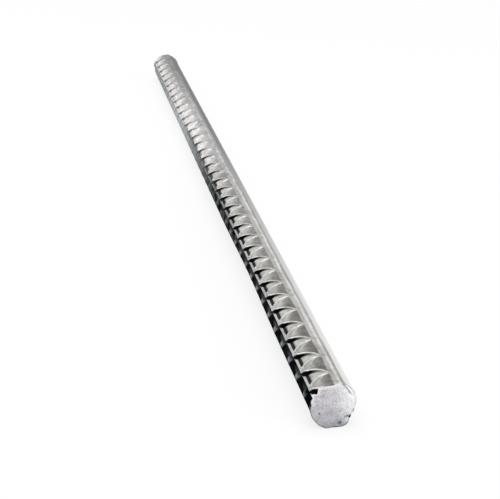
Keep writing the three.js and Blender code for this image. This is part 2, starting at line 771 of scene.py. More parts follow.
    def cap(self, end: End) -> tuple[np.ndarray, dict[str, np.ndarray]]:
        """One cut: the rolled-over edge, a quarter of an ellipse, and the face in rings inside it.

        Args:
            end: which cut.

        Returns:
            Points from the rim inwards, ring by ring, the last one at the centre, and what each
            holds for the finish.
        """
        columns = self.columns()
        angle, turn = columns.angle, columns.turn
        sign, cut = end.inwards, 0.0 if end is End.NEAR else self.length
        seen = sign * angle
        width, depth = self.cut.edge_width(seen), self.cut.edge_depth(seen)
        along = cut + sign * depth
        phase = self.pattern.phase(turn, along, columns.shift)
        rim = self.pattern.core_radius + self.pattern.relief(columns, phase)
        rim = rim + self.swelling(angle, along)
        quarter = np.linspace(0.0, math.pi / 2, self.edge_rings + 1)[:, None]
        share = np.linspace(1.0, 0.0, self.face_rings + 1)[1:, None]
        face = (rim - width)[None, :]
        radius = np.concatenate([rim - width * (1 - np.cos(quarter)), face * share])
        back = np.concatenate([depth * (1 - np.sin(quarter)), np.zeros_like(face * share)])
        inner = np.concatenate([-width * (1 - quarter / (math.pi / 2)), face * (1 - share)])
        x, z = radius * np.sin(seen)[None, :], radius * np.cos(seen)[None, :]
        hollow, chipped = self.cut.chipped(x, z, end.value + self.chip_tables)
        grain = self.cut.relief(x, z, end.value) * smooth(*self.grain_border, inner)
        rough = grain + hollow * smooth(*self.chip_border, inner)
        points = self.place(angle[None, :], radius, cut + sign * (back + rough))
        return points, self.held(columns, phase, inner, chipped)

    def rim(self, end: End, triangles: np.ndarray, rows: int, count: int) -> np.ndarray:
        """Vertices of the rolled surface that lie on a cut.

        They are the first or last ones of the columns that the triangles use.

        Args:
            end: which cut.
            triangles: those of the rolled surface.
            rows: number of the grid's rows.
            count: number of its columns.

        Returns:
            Their numbers, one for each column.
        """
        row, column = np.divmod(triangles.reshape(-1), count)
        if end is End.NEAR:
            edge = np.full(count, rows)
            np.minimum.at(edge, column, row)
        else:
            edge = np.full(count, -1)
            np.maximum.at(edge, column, row)
        return edge * count + np.arange(count)

    def cap_triangles(self, end: End, rim: np.ndarray, start: int, rings: int) -> np.ndarray:
        """Triangles of one cut: rings of squares inside the rim, and a fan in the middle.

        Args:
            end: which cut.
            rim: vertices on the rim.
            start: number of the cut's first vertex.
            rings: number of its rings.

        Returns:
            The triangles, facing away from the bar.
        """
        count = len(rim)
        inner = start + np.arange(rings * count).reshape(rings, count)
        index = np.concatenate([rim[None], inner])
        wrapped = np.concatenate([index, index[:, :1]], axis=1)
        centre = np.full(count, start + rings * count)
        fan = np.stack([wrapped[-1, :-1], wrapped[-1, 1:], centre], axis=1)
        triangles = np.concatenate([quads_to_triangles(wrapped), fan])
        return triangles[:, ::-1] if end is End.NEAR else triangles

    def build(self) -> bpy.types.Object:
        """Joins the rolled surface and both caps into one closed mesh.

        Returns:
            The bar's object, with the attributes that its finish reads.
        """
        points, triangles, held = self.side()
        count = len(self.columns().turn)
        all_points, all_triangles = [points], [triangles]
        all_held = {name: [values] for name, values in held.items()}
        start = len(points)
        for end in End:
            ring_points, ring_held = self.cap(end)
            rings = len(ring_points) - 2
            rim = self.rim(end, triangles, len(points) // count, count)
            all_triangles.append(self.cap_triangles(end, rim, start, rings))
            all_points += [ring_points[1:-1].reshape(-1, 3), ring_points[-1].mean(axis=0)[None]]
            for name, values in ring_held.items():
                all_held[name] += [values[1:-1].reshape(-1), values[-1, :1]]
            start += rings * count + 1
        held = {name: np.concatenate(values) for name, values in all_held.items()}
        return make_mesh(
            "ribbed_bar_steel", np.concatenate(all_points), np.concatenate(all_triangles), held
        )


# ---------------------------------------------------------------- shader maths


class Value:
    """A shader socket, or a number, that Python's operators turn into Math nodes."""

    def __init__(self, painter: "Painter", source: Any) -> None:
        """Keeps the painter that makes the nodes and the socket or number."""
        self.painter = painter
        self.source = source

    def _math(self, operation: str, *operands: Any) -> "Value":
        """A Math node of that operation on these operands."""
        inputs = {i: operand for i, operand in enumerate(operands)}
        return self.painter.node("ShaderNodeMath", {"operation": operation}, inputs)

    def __add__(self, other: Any) -> "Value":
        """Sum."""
        return self._math("ADD", self, other)

    def __radd__(self, other: Any) -> "Value":
        """Sum with a number in front."""
        return self._math("ADD", other, self)

    def __sub__(self, other: Any) -> "Value":
        """Difference."""
        return self._math("SUBTRACT", self, other)

    def __rsub__(self, other: Any) -> "Value":
        """Difference with a number in front."""
        return self._math("SUBTRACT", other, self)

    def __mul__(self, other: Any) -> "Value":
        """Product."""
        return self._math("MULTIPLY", self, other)

    def __rmul__(self, other: Any) -> "Value":
        """Product with a number in front."""
        return self._math("MULTIPLY", other, self)

    def __pow__(self, other: Any) -> "Value":
        """Power."""
        return self._math("POWER", self, other)

    def step(self, low: float, high: float) -> "Value":
        """S-shaped step from 0 at low to 1 at high. It falls where low is above high.

        Args:
            low: where it is 0.
            high: where it is 1.

        Returns:
            The step.
        """
        settings = {"interpolation_type": "SMOOTHSTEP"}
        inputs = {"Value": self, "From Min": low, "From Max": high, "To Min": 0.0, "To Max": 1.0}
        return self.painter.node("ShaderNodeMapRange", settings, inputs)

    def size(self) -> "Value":
        """The value without its sign."""
        return self._math("ABSOLUTE", self)

    def larger(self, other: Any) -> "Value":
        """The larger of two values."""
        return self._math("MAXIMUM", self, other)

    def wrap(self, low: float, high: float) -> "Value":
        """The value brought between low and high by whole steps of their difference."""
        return self._math("WRAP", self, high, low)


class Painter:
    """Makes the nodes of one material."""

    def __init__(self, name: str) -> None:
        """Starts an empty material.

        Args:
            name: its name.
        """
        self.material = bpy.data.materials.new(name)
        self.material.use_nodes = True
        self.tree = self.material.node_tree
        self.tree.nodes.clear()

    def node(
        self, kind: str, settings: dict[str, Any], inputs: dict[Any, Any], output: Any = 0
    ) -> Value:
        """Makes a node.

        Args:
            kind: type name of the node.
            settings: properties, set before the inputs.
            inputs: numbers, colours or values by socket name or number.
            output: name or number of the output to return.

        Returns:
            The output as a value.
        """
        made = self.tree.nodes.new(kind)
        for key, setting in settings.items():
            setattr(made, key, setting)
        for key, given in inputs.items():
            source = given.source if isinstance(given, Value) else given
            if isinstance(source, bpy.types.NodeSocket):
                self.tree.links.new(source, made.inputs[key])
            else:
                made.inputs[key].default_value = source
        return Value(self, made if output is None else made.outputs[output])

    def attribute(self, name: str) -> Value:
        """A number that the mesh holds at each vertex."""
        return self.node("ShaderNodeAttribute", {"attribute_name": name}, {}, "Fac")

    def place(self, scale: tuple[float, float, float] = (1.0, 1.0, 1.0)) -> Value:
        """Object coordinates, stretched by a scale."""
        where = self.node("ShaderNodeTexCoord", {}, {}, "Object")
        return self.node("ShaderNodeMapping", {}, {"Vector": where, "Scale": scale})

    def axis(self, name: str) -> Value:
        """One of the object coordinates, in metres."""
        return self.node("ShaderNodeSeparateXYZ", {}, {"Vector": self.place()}, name)

    def mix(self, share: Value, first: Any, second: Any) -> Value:
        """Blend of two colours."""
        settings = {"data_type": "RGBA"}
        return self.node("ShaderNodeMix", settings, {0: share, 6: first, 7: second}, 2)

    def tint(self, share: Value, base: Any, shade: Any) -> Value:
        """A colour multiplied by a shade, by a share."""
        settings = {"data_type": "RGBA", "blend_type": "MULTIPLY"}
        return self.node("ShaderNodeMix", settings, {0: share, 6: base, 7: shade}, 2)

    def blend(self, share: Value, first: Any, second: Any) -> Value:
        """Blend of two numbers."""
        return first + share * (second - first)

    def finish(self, inputs: dict[str, Any]) -> bpy.types.Material:
        """Ends the material in a Principled shader with these inputs."""
        return self.end(self.node("ShaderNodeBsdfPrincipled", {}, inputs))

    def end(self, shader: Value) -> bpy.types.Material:
        """Sends a shader to the material's output."""
        self.node("ShaderNodeOutputMaterial", {}, {"Surface": shader}, None)
        return self.material


Colour = tuple[float, float, float, float]


def colour(red: float, green: float, blue: float) -> Colour:
    """A linear colour with full alpha."""
    return (red, green, blue, 1.0)


# ---------------------------------------------------------------- finishes
#
# Ramps over a place along the bar are in metres from its middle, so the near end is at -0.5. Those
# over a turn are in degrees or radians from the main rib, and the others are in millimetres from
# the line or border that they follow.


@dataclass(frozen=True)
class Ramp:
    """An S-shaped step from 0 at the start to an amount at the end, whichever is the larger."""

    start: float
    end: float
    amount: float = 1.0

    def of(self, value: Value) -> Value:
        """How much of it there is at a value."""
        share = value.step(self.start, self.end)
        return share if self.amount == 1.0 else share * self.amount


@dataclass(frozen=True)
class Band:
    """A stretch with soft ends: it rises from start to full and falls from waning to end."""

    start: float
    full: float
    waning: float
    end: float
    amount: float = 1.0

    def of(self, value: Value) -> Value:
        """How much of it there is at a value."""
        share = value.step(self.start, self.full) * value.step(self.end, self.waning)
        return share if self.amount == 1.0 else share * self.amount


def turns(start: float, end: float, amount: float = 1.0) -> Ramp:
    """A ramp between two turns in degrees."""
    return Ramp(math.radians(start), math.radians(end), amount)


@dataclass(frozen=True)
class Noise:
    """Smooth noise in layers, drawn out along the bar where its stretch is below 1.

    The scale is in waves for each metre, the detail is the number of finer layers, and rough is
    how strong each is against the one before.
    """

    scale: float
    stretch: float = 1.0
    detail: float = 3.0
    rough: float = 0.6

    def of(self, p: Painter) -> Value:
        """The noise at each point, from 0 to 1.

        Args:
            p: painter of the material.

        Returns:
            The noise.
        """
        inputs = {"Scale": self.scale, "Detail": self.detail, "Roughness": self.rough}
        inputs["Vector"] = p.place((1.0, self.stretch, 1.0))
        return p.node("ShaderNodeTexNoise", {}, inputs)


@dataclass(frozen=True)
class Blotches:
    """Noise that a ramp cuts to blotches."""

    noise: Noise
    cut: Ramp

    def of(self, p: Painter) -> Value:
        """How much of them there is at each point."""
        return self.cut.of(self.noise.of(p))


@dataclass(frozen=True)
class Lines:
    """Where a point of the rolled surface lies. Distances in millimetres, turns in radians.

    The turn is counted from the main rib. The distances from the slanted, cross, branch and main
    ribs are square to them, and positive on the side away from the near end or towards the seam.
    Inside is 1 on a ribbed side and 0 outside it, with an uneven border. Along is in metres, from
    -0.5 at the near end to 0.5. Inner is the distance inside the border of the torn face,
    negative outside it.
    """

    turn: Value
    slant: Value
    cross: Value
    branch: Value
    main: Value
    seam: Value
    inside: Value
    along: Value
    inner: Value


@dataclass(frozen=True)
class LineFinder:
    """Works out the lines from what the mesh holds at each vertex."""

    pattern: RolledPattern = field(default_factory=RolledPattern)
    wobble: Noise = Noise(130.0, 0.3)
    seam_wobble: float = 1.6
    border_wobble: float = 0.12
    border: Ramp = Ramp(0.03, -0.01)
    below_main: Ramp = Ramp(0.0, -0.001)

    def slant_sine(self, turn: Value) -> Value:
        """Sine of the angle between a slanted rib and the bar: 1 over the root of 1 + slope^2.

        Args:
            turn: turn from the main rib.

        Returns:
            The sine.
        """
        rolled = self.pattern
        share = turn.size() * (1 / rolled.side_turn)
        below = self.below_main.of(turn)
        factor = below * (rolled.lower_drop - 1.0) + 1.0
        bend = below * (rolled.lower_bend - rolled.bend) + rolled.bend
        return ((rolled.slant_slope(share, bend) * factor) ** 2 + 1) ** -0.5

    def find(self, p: Painter) -> Lines:
        """Finds each point's place among the ribs.

        Args:
            p: painter of the material.

        Returns:
            The place.
        """
        rolled = self.pattern
        turn, phase = p.attribute("turn"), p.attribute("phase")
        half = rolled.pitch / 2
        share = turn.size() * (1 / rolled.side_turn)
        beyond = phase.wrap(0.0, rolled.pitch)
        curve = rolled.slant_curve(share, rolled.bend)
        branch_sine = math.sin(math.atan2(rolled.side_arc, rolled.branch_rise))
        wobble = self.wobble.of(p) - 0.5
        return Lines(
            turn=turn,
            slant=phase.wrap(-half, half) * self.slant_sine(turn),
            cross=beyond - curve - rolled.cross_curve(share),
            branch=(beyond - curve - rolled.branch_curve(share)) * branch_sine,
            main=turn * rolled.core_radius,
            seam=p.attribute("seam") + wobble * self.seam_wobble,
            inside=self.border.of(turn.size() + wobble * self.border_wobble - rolled.side_turn),
            along=p.axis("Y"),
            inner=p.attribute("inner"),
        )


@dataclass(frozen=True)
class PaintedShade:
    """Painted shade in the corners beside the ribs, which pales further along.

    A wedge lies before each slanted rib, longest beside the main rib. Narrow stretches lie beyond
    the main rib, on both sides of the seam and at the border of a ribbed side.
    """

    # near-black painted shade, paling to grey further along
    deep_shade: Colour = colour(0.0035, 0.0048, 0.0052)
    paled_shade: Colour = colour(0.24, 0.24, 0.245)
    shade_pales: Ramp = Ramp(-0.15, 0.25)
    hidden_paling: float = 0.45
    foot: float = 1.7
    foot_growth: float = 2.9
    foot_reach: float = math.radians(30)
    above_main: Ramp = turns(-4, 4)
    wedge_top: Ramp = Ramp(-0.4, -0.75)
    wedge_tail: Ramp = Ramp(-0.3, 0.3)
    wedge_fade: Ramp = turns(54, 18)
    cut_back: Ramp = Ramp(0.02, 0.28)
    cut_back_turn: Ramp = turns(4, 17, 0.7)
    main_corner: Band = Band(0.65, 1.1, 2.2, 3.7, 0.95)
    clear_of_cross: Ramp = Ramp(0.7, 2.2)
    main_corner_pales: Ramp = Ramp(0.0, 0.17, 0.9)
    beyond_seam: Band = Band(0.5, 1.3, 1.5, 2.3, 0.35)
    before_seam: Band = Band(-3.2, -2.5, -2.4, -1.7, 0.12)
    border: Band = Band(-0.03, 0.03, 0.06, 0.11, 0.15)

    def wedge(self, at: Lines) -> Value:
        """Share of the wedge of painted shade before a slanted rib.

        Its foot reaches further by the square of how near the main rib is.

        Args:
            at: the point's place among the ribs.

        Returns:
            The share.
        """
        side = at.turn.size()
        near_main = (1.0 - side * (1 / self.foot_reach)).larger(0.0)
        foot = self.foot + near_main * near_main * self.foot_growth * self.above_main.of(at.turn)
        wedge = self.wedge_top.of(at.slant) * self.wedge_tail.of(at.slant + foot)
        cut_back = self.cut_back.of(at.along) * self.cut_back_turn.of(side)
        return wedge * self.wedge_fade.of(side) * (1.0 - cut_back)

    def share(self, at: Lines, side_turn: float) -> Value:
        """Share of painted shade: the largest of those of its places.

        Args:
            at: the point's place among the ribs.
            side_turn: turn of the border of a ribbed side.

        Returns:
            The share.
        """
        corner = self.main_corner.of(at.main) * self.clear_of_cross.of(at.cross)
        corner = corner * (1.0 - self.main_corner_pales.of(at.along))
        most = self.wedge(at).larger(corner)
        most = most.larger(self.beyond_seam.of(at.seam))
        most = most.larger(self.before_seam.of(at.seam))
        return most.larger(self.border.of(at.turn.size() - side_turn))

    def tone(self, p: Painter, at: Lines, hidden: Value) -> Value:
        """Colour of the painted shade, which pales further along and on the hidden side."""
        paled_shade = self.shade_pales.of(at.along).larger(hidden * self.hidden_paling)
        return p.mix(paled_shade, self.deep_shade, self.paled_shade)


@dataclass(frozen=True)
class RibbedSide:
    """Colours of a ribbed side: crests bright, partly rubbed and partly painted highlight, and
    duller steel between them.

    The web lies between a slanted rib and the cross rib beyond it, in painted shade. The pocket is
    its corner before the branch, towards the border of the side, in deeper painted shade. The side
    pales further along the bar as painted light.
    """

    floor: Colour = colour(0.46, 0.456, 0.428)
    # painted shade in the web before the cross rib
    web: Colour = colour(0.365, 0.362, 0.338)
    # deeper painted shade in the pocket, paler further along
    pocket: Colour = colour(0.195, 0.19, 0.176)
    far_pocket: Colour = colour(0.34, 0.335, 0.33)
    # slanted crests: partly rubbed bright, partly painted highlight
    crest: Colour = colour(0.82, 0.815, 0.80)
    crest_end: Colour = colour(0.72, 0.715, 0.70)
    # painted highlights on the cross rib's crest and along the branch
    cross_crest: Colour = colour(0.62, 0.615, 0.60)
    branch_crest: Colour = colour(0.45, 0.44, 0.43)
    # painted light: the side pales further along, brightest beside the main rib
    paled: Colour = colour(0.76, 0.753, 0.74)
    paled_bright: Colour = colour(0.91, 0.905, 0.895)
    upper: Ramp = Ramp(-0.02, 0.02)
    reach: Ramp = turns(16, 44)
    before_cross: Ramp = Ramp(1.5, 0.3)
    web_loss: float = 0.4
    before_branch: Ramp = Ramp(-0.1, -0.7)
    pocket_turn: Ramp = turns(22, 42)
    patches: Blotches = Blotches(Noise(150.0, 0.7), Ramp(0.4, 0.56, 0.3))
    pocket_least: float = 0.7
    pocket_pales: Ramp = Ramp(-0.42, -0.1)
    branch_width: Ramp = Ramp(1.0, 0.2)
    branch_turn: Ramp = turns(15, 24)
    cross_width: Ramp = Ramp(1.8, 0.4)
    cross_loss: float = 0.8
    cross_tip: Ramp = turns(47, 53, 0.6)
    crest_width: Band = Band(-0.65, -0.3, 0.9, 3.0)
    near_main: Ramp = turns(38, 12)
    first_paling: Ramp = Ramp(-0.48, -0.32, 0.1)
    later_paling: Ramp = Ramp(-0.09, 0.1, 0.7)

    def plain(self, p: Painter, at: Lines) -> Value:
        """Colour between the ribs and on their crests, before it pales.

        Args:
            p: painter of the material.
            at: the point's place among the ribs.

        Returns:
            The colour.
        """
        upper = self.upper.of(at.turn)
        reach = self.reach.of(at.turn)
        web = self.before_cross.of(at.cross) * upper * (1.0 - reach * self.web_loss)
        base = p.mix(web, self.floor, self.web)
        hollow = self.before_branch.of(at.branch) * self.pocket_turn.of(at.turn)
        hollow = hollow * (self.patches.of(p) + self.pocket_least)
        pocket = p.mix(self.pocket_pales.of(at.along), self.pocket, self.far_pocket)
        base = p.mix(hollow, base, pocket)
        branch = self.branch_width.of(at.branch.size()) * self.branch_turn.of(at.turn)
        base = p.mix(branch * upper, base, self.branch_crest)
        strength = 1.0 - reach * self.cross_loss + self.cross_tip.of(at.turn)
        cross = self.cross_width.of(at.cross.size()) * upper * strength
        base = p.mix(cross, base, self.cross_crest)
        crest = p.mix(reach, self.crest, self.crest_end)
        return p.mix(self.crest_width.of(at.slant), base, crest)

    def pale(self, p: Painter, at: Lines, plain: Value) -> Value:
        """The plain colour as it pales along the bar by painted light, brightest beside the main
        rib.

        Args:
            p: painter of the material.
            at: the point's place among the ribs.
            plain: the plain colour.

        Returns:
            The paled colour.
        """
        pale = p.mix(self.near_main.of(at.turn), self.paled, self.paled_bright)
        share = self.first_paling.of(at.along) + self.later_paling.of(at.along)
        return p.mix(share, plain, pale)


@dataclass(frozen=True)
class LongRibs:
    """Colours of what runs lengthwise: smooth strips, the main ribs' crests and the seam's line,
    the last two as painted highlights.
    """

    strip: Colour = colour(0.64, 0.63, 0.60)
    far_strip: Colour = colour(0.68, 0.668, 0.68)
    # painted light: the strip pales further along
    far_sheen: Ramp = Ramp(-0.4, 0.25)
    dull_end: Ramp = Ramp(-0.42, -0.46, 0.3)
    # painted highlight on the main rib's crest, dark through the middle stretch
    crest: Colour = colour(0.53, 0.525, 0.52)
    middle_crest: Colour = colour(0.14, 0.14, 0.145)
    far_crest: Colour = colour(0.80, 0.795, 0.79)
    crest_darkens: Ramp = Ramp(-0.28, -0.06)
    crest_pales: Ramp = Ramp(0.11, 0.23)
    crest_middle: float = 0.33
    crest_width: Ramp = Ramp(1.2, 0.85)
    # painted highlight along the seam's rib, dimmer further along
    line: Colour = colour(0.92, 0.915, 0.90)
    far_line: Colour = colour(0.74, 0.725, 0.74)
    line_dims: Ramp = Ramp(-0.15, 0.1)
    line_width: Band = Band(-1.8, -0.7, -0.4, 0.4)

    def strip_colour(self, p: Painter, at: Lines, dull: Colour) -> Value:
        """Colour of the smooth strip between a ribbed side and the seam."""
        strip = p.mix(self.far_sheen.of(at.along), self.strip, self.far_strip)
        return p.mix(self.dull_end.of(at.along), strip, dull)

    def over(self, p: Painter, at: Lines, base: Value) -> Value:
        """Lays the painted highlights of the main rib's crest and the seam's line over a colour.

        Args:
            p: painter of the material.
            at: the point's place among the ribs.
            base: colour below them.

        Returns:
            The colour with both.
        """
        crest = p.mix(self.crest_darkens.of(at.along), self.crest, self.middle_crest)
        crest = p.mix(self.crest_pales.of(at.along), crest, self.far_crest)
        base = p.mix(self.crest_width.of((at.main - self.crest_middle).size()), base, crest)
        line = p.mix(self.line_dims.of(at.along), self.line, self.far_line)
        return p.mix(self.line_width.of(at.seam), base, line)


@dataclass(frozen=True)
class Marks:
    """Stains, blots and flecks over the rolled steel, which is also darker towards the far end by
    painted shade.
    """

    # painted shade towards the far end, most beside the seam
    dim: Colour = colour(0.66, 0.66, 0.665)
    dim_turn: Ramp = turns(15, 48, 0.7)
    dim_least: float = 0.3
    dim_start: Ramp = Ramp(0.225, 0.26, 0.45)
    dim_later: Ramp = Ramp(0.26, 0.44, 0.6)
    stain: Colour = colour(0.82, 0.81, 0.805)
    stains: Blotches = Blotches(Noise(75.0, 0.4), Ramp(0.46, 0.68))
    blots: Blotches = Blotches(Noise(190.0, 0.35, rough=0.65), Ramp(0.47, 0.6))
    blots_start: Ramp = Ramp(-0.25, 0.1)
    blots_inside: float = 0.6
    fleck: Colour = colour(0.74, 0.74, 0.74)
    flecks: Blotches = Blotches(Noise(420.0, 0.45), Ramp(0.48, 0.66))

    def dimmed(self, p: Painter, at: Lines, base: Value) -> Value:
        """A colour with painted shade towards the far end, most beside the seam."""
        later = self.dim_start.of(at.along) + self.dim_later.of(at.along)
        return p.tint(later * (self.dim_turn.of(at.turn) + self.dim_least), base, self.dim)

    def stained(self, p: Painter, base: Value) -> Value:
        """A colour with the stains on it."""
        return p.tint(self.stains.of(p), base, self.stain)

    def over(self, p: Painter, at: Lines, base: Value) -> Value:
        """Lays all marks over a colour.

        Args:
            p: painter of the material.
            at: the point's place among the ribs.
            base: colour below them.

        Returns:
            The marked colour.
        """
        base = self.stained(p, self.dimmed(p, at, base))
        blot = self.blots.of(p) * self.blots_start.of(at.along)
        base = p.tint(blot * (1.0 - at.inside * self.blots_inside), base, self.stain)
        return p.tint(self.flecks.of(p), base, self.fleck)


@dataclass(frozen=True)
class Back:
    """The smooth stretch beyond the top seam, and the ribbed side below it.

    The stretch is nearly white at the near end by painted light, grey further away by painted
    shade, and dulled beside the cut. The ribbed side, which the stretch hides, is plain.
    """

    # painted light at the near end, painted shade further away
    near: Colour = colour(0.99, 0.99, 0.985)
    far: Colour = colour(0.29, 0.288, 0.292)
    greys: Ramp = Ramp(-0.48, 0.2)
    beyond_seam: Ramp = Ramp(2.0, 3.2)
    beside_cut: Ramp = Ramp(-2.8, -2.0, 0.45)
    ribbed_start: Ramp = Ramp(10.2, 13.0)
    above_main: Ramp = Ramp(-0.01, 0.01)
    below_main: Ramp = Ramp(-0.015, -0.025)
    before_seam: Ramp = Ramp(0.4, -0.4)
    off_cut: Ramp = Ramp(-1.8, -4.0)

    def over(self, p: Painter, at: Lines, base: Value, dull: Colour) -> Value:
        """Lays the smooth stretch over a colour.

        Args:
            p: painter of the material.
            at: the point's place among the ribs.
            base: colour below it.
            dull: colour that it takes on beside the cut.

        Returns:
            The colour with it.
        """
        back = p.mix(self.greys.of(at.along), self.near, self.far)
        back = p.mix(self.beside_cut.of(at.inner), back, dull)
        return p.mix(self.beyond_seam.of(at.seam), base, back)

    def hidden(self, at: Lines) -> Value:
        """Share of the ribbed side below the stretch, on both sides of its main rib.

        Args:
            at: the point's place among the ribs.

        Returns:
            The share.
        """
        above = self.ribbed_start.of(at.seam) * self.above_main.of(at.turn)
        below = self.before_seam.of(at.seam) * self.below_main.of(at.turn)
        return above.larger(below) * self.off_cut.of(at.inner)


@dataclass(frozen=True)
class Flank:
    """The side below the main rib: near-black painted shade with dim painted highlights on the
    crests and a painted haze beyond them, which pales past mid-length as painted light.
    """

    # dim painted highlights on the slanted ribs' crests, darker through the middle stretch
    crest: Colour = colour(0.46, 0.475, 0.49)
    middle_crest: Colour = colour(0.15, 0.165, 0.17)
    far: Colour = colour(0.50, 0.525, 0.525)
    # painted shade along the rolled-over edge beside the cut
    bent: Colour = colour(0.20, 0.205, 0.215)
    below_main: Ramp = Ramp(-0.32, -0.62)
    crest_width: Band = Band(-3.0, -0.2, 0.2, 3.4)
    crest_turn: Ramp = turns(-8, -29, 0.9)
    crest_least: float = 0.1
    # painted light: a haze beyond the crests
    haze_width: Band = Band(-0.5, 0.5, 1.5, 8.5)
    haze_turn: Ramp = turns(-28, -18, 0.12)
    haze_start: Ramp = turns(-7, -11)
    crest_end: Ramp = turns(-50, -20)
    crest_off_cut: Ramp = Ramp(-0.49, -0.475)
    crest_dims: Ramp = Ramp(-0.24, -0.08)
    marks: Blotches = Blotches(Noise(170.0, 0.5), Ramp(0.42, 0.66))
    marks_start: Ramp = Ramp(-0.3, -0.12, 0.16)
    marks_near: Ramp = Ramp(-0.49, -0.44, 0.02)
    pales: Ramp = Ramp(-0.09, 0.23)
    far_dims: Ramp = Ramp(0.28, 0.36, 0.7)
    bent_width: Ramp = Ramp(-1.6, -0.9)
    bent_turn: Ramp = turns(-24, -34)

    def crests(self, at: Lines) -> Value:
        """Share of the slanted ribs' rubbed crests, and of the haze beyond them.

        Args:
            at: the point's place among the ribs.

        Returns:
            The share.
        """
        crest = self.crest_width.of(at.slant) * (self.crest_turn.of(at.turn) + self.crest_least)
        haze = self.haze_width.of(at.slant) * self.haze_turn.of(at.turn)
        most = crest.larger(haze * self.haze_start.of(at.turn))
        return most * self.crest_end.of(at.turn) * self.crest_off_cut.of(at.along)

    def tone(self, p: Painter, at: Lines, scale: Colour, dim: Colour) -> Value:
        """Colour of the flank.

        Args:
            p: painter of the material.
            at: the point's place among the ribs.
            scale: colour of the deepest painted shade.
            dim: shade of the far stretch.

        Returns:
            The colour.
        """
        crest = p.mix(self.crest_dims.of(at.along), self.crest, self.middle_crest)
        dark = p.mix(self.crests(at), scale, crest)
        strength = self.marks_start.of(at.along) + self.marks_near.of(at.along)
        dark = p.mix(self.marks.of(p) * strength, dark, self.far)
        far = p.tint(self.far_dims.of(at.along), self.far, dim)
        return p.mix(self.pales.of(at.along), dark, far)

    def bent_edge(self, at: Lines) -> Value:
        """Share of painted shade on the steel that the shear has bent over beside the cut."""
        return self.bent_width.of(at.inner) * self.bent_turn.of(at.turn)


@dataclass(frozen=True)
class RolledSteel:
    """As-rolled steel: bright on the crests, partly rubbed and partly painted highlight, with
    painted shade in the corners.
    """

    finder: LineFinder = field(default_factory=LineFinder)
    side: RibbedSide = field(default_factory=RibbedSide)
    long_ribs: LongRibs = field(default_factory=LongRibs)
    marks: Marks = field(default_factory=Marks)
    back: Back = field(default_factory=Back)
    # painted shade in the corners beside the ribs
    scale: PaintedShade = field(default_factory=PaintedShade)
    flank: Flank = field(default_factory=Flank)

    def colours(self, p: Painter, at: Lines) -> tuple[Value, Value]:
        """Lays the parts of the finish over each other.

        Args:
            p: painter of the material.
            at: the point's place among the ribs.

        Returns:
            Base colour, and how much of it is painted shade, in the corners or on the flank.
        """
        plain = self.side.plain(p, at)
        strip = self.long_ribs.strip_colour(p, at, self.side.floor)
        base = p.mix(at.inside, strip, self.side.pale(p, at, plain))
        base = self.long_ribs.over(p, at, base)
        base = self.marks.over(p, at, base)
        base = self.back.over(p, at, base, self.long_ribs.strip)
        hidden = self.back.hidden(at)
        base = p.mix(hidden, base, self.marks.stained(p, plain))
        dark = self.scale.share(at, self.finder.pattern.side_turn)
        base = p.mix(dark, base, self.scale.tone(p, at, hidden))
        # the flank below the main rib is near-black painted shade
        under = self.flank.below_main.of(at.main) * (1.0 - hidden)
        flank = self.flank.tone(p, at, self.scale.deep_shade, self.marks.dim)
        base = p.mix(under, base, flank)
        bent = self.flank.bent_edge(at)
        base = p.mix(bent, base, self.flank.bent)
        return base, dark.larger(under) * (1.0 - bent)


@dataclass(frozen=True)
class TornSteel:
    """Sheared cut: pale, granular and matt, brighter to one side by painted light, darker towards
    the bottom and bruised below.

    Places on the face are in metres, and distances from its border in millimetres.
    """

    # painted light: the face brightens to near white on one side
    left: Colour = colour(0.64, 0.617, 0.645)
    right: Colour = colour(0.985, 0.985, 0.99)
    brightens: Ramp = Ramp(-0.003, 0.011)
    shade: Colour = colour(0.80, 0.835, 0.85)
    shaded: Ramp = Ramp(0.018, 0.004)
    low: Colour = colour(0.33, 0.36, 0.385)
    bruise_place: tuple[float, float] = (0.002, 0.0005)
    bruise: Ramp = Ramp(0.007, 0.001, 0.7)
    grain: Colour = colour(0.70, 0.69, 0.71)
    fine: Noise = Noise(1100.0, detail=4.0, rough=0.65)
    coarse: Noise = Noise(260.0, rough=0.5)
    speckles: Ramp = Ramp(0.54, 0.42)
    speckle_grain: float = 0.65
    # pale border along the top: the burr, with a painted highlight on it
    lit_burr: Colour = colour(0.93, 0.925, 0.93)
    burr_width: Band = Band(-0.1, 0.2, 0.8, 2.6, 0.6)
    highlight_rise: Ramp = Ramp(0.012, 0.022)
    lip: Colour = colour(0.42, 0.405, 0.43)
    lip_width: Band = Band(-0.9, -0.4, 0.6, 1.2)
    lip_across: Band = Band(0.0035, 0.0055, 0.0095, 0.012)
    lip_rise: Ramp = Ramp(0.018, 0.021)
    # painted shade in the chips, fuller in the deeper ones
    chip: Colour = colour(0.16, 0.16, 0.165)
    chipped: Ramp = Ramp(0.25, 0.8, 0.85)
    height_grain: float = 0.7

    def colours(self, p: Painter, inner: Value) -> tuple[Value, Value]:
        """Lays the parts of the torn face over each other.

        Args:
            p: painter of the material.
            inner: distance inside the border of the face.

        Returns:
            Base colour and height.
        """
        x, z = p.axis("X"), p.axis("Z")
        grain, cloud = self.fine.of(p), self.coarse.of(p)
        base = p.mix(self.brightens.of(x), self.left, self.right)
        base = p.tint(self.shaded.of(z), base, self.shade)
        across, up = self.bruise_place
        away = ((x - across) ** 2 + (z - up) ** 2) ** 0.5
        base = p.mix(self.bruise.of(away), base, self.low)
        speckle = grain * self.speckle_grain + cloud * (1 - self.speckle_grain)
        base = p.tint(self.speckles.of(speckle), base, self.grain)
        lit_burr = self.burr_width.of(inner) * self.highlight_rise.of(z)
        base = p.mix(lit_burr, base, self.lit_burr)
        lip = self.lip_width.of(inner) * self.lip_across.of(x) * self.lip_rise.of(z)
        base = p.mix(lip, base, self.lip)
        base = p.mix(self.chipped.of(p.attribute("chipped")), base, self.chip)
        return base, grain * self.height_grain + cloud * (1 - self.height_grain)


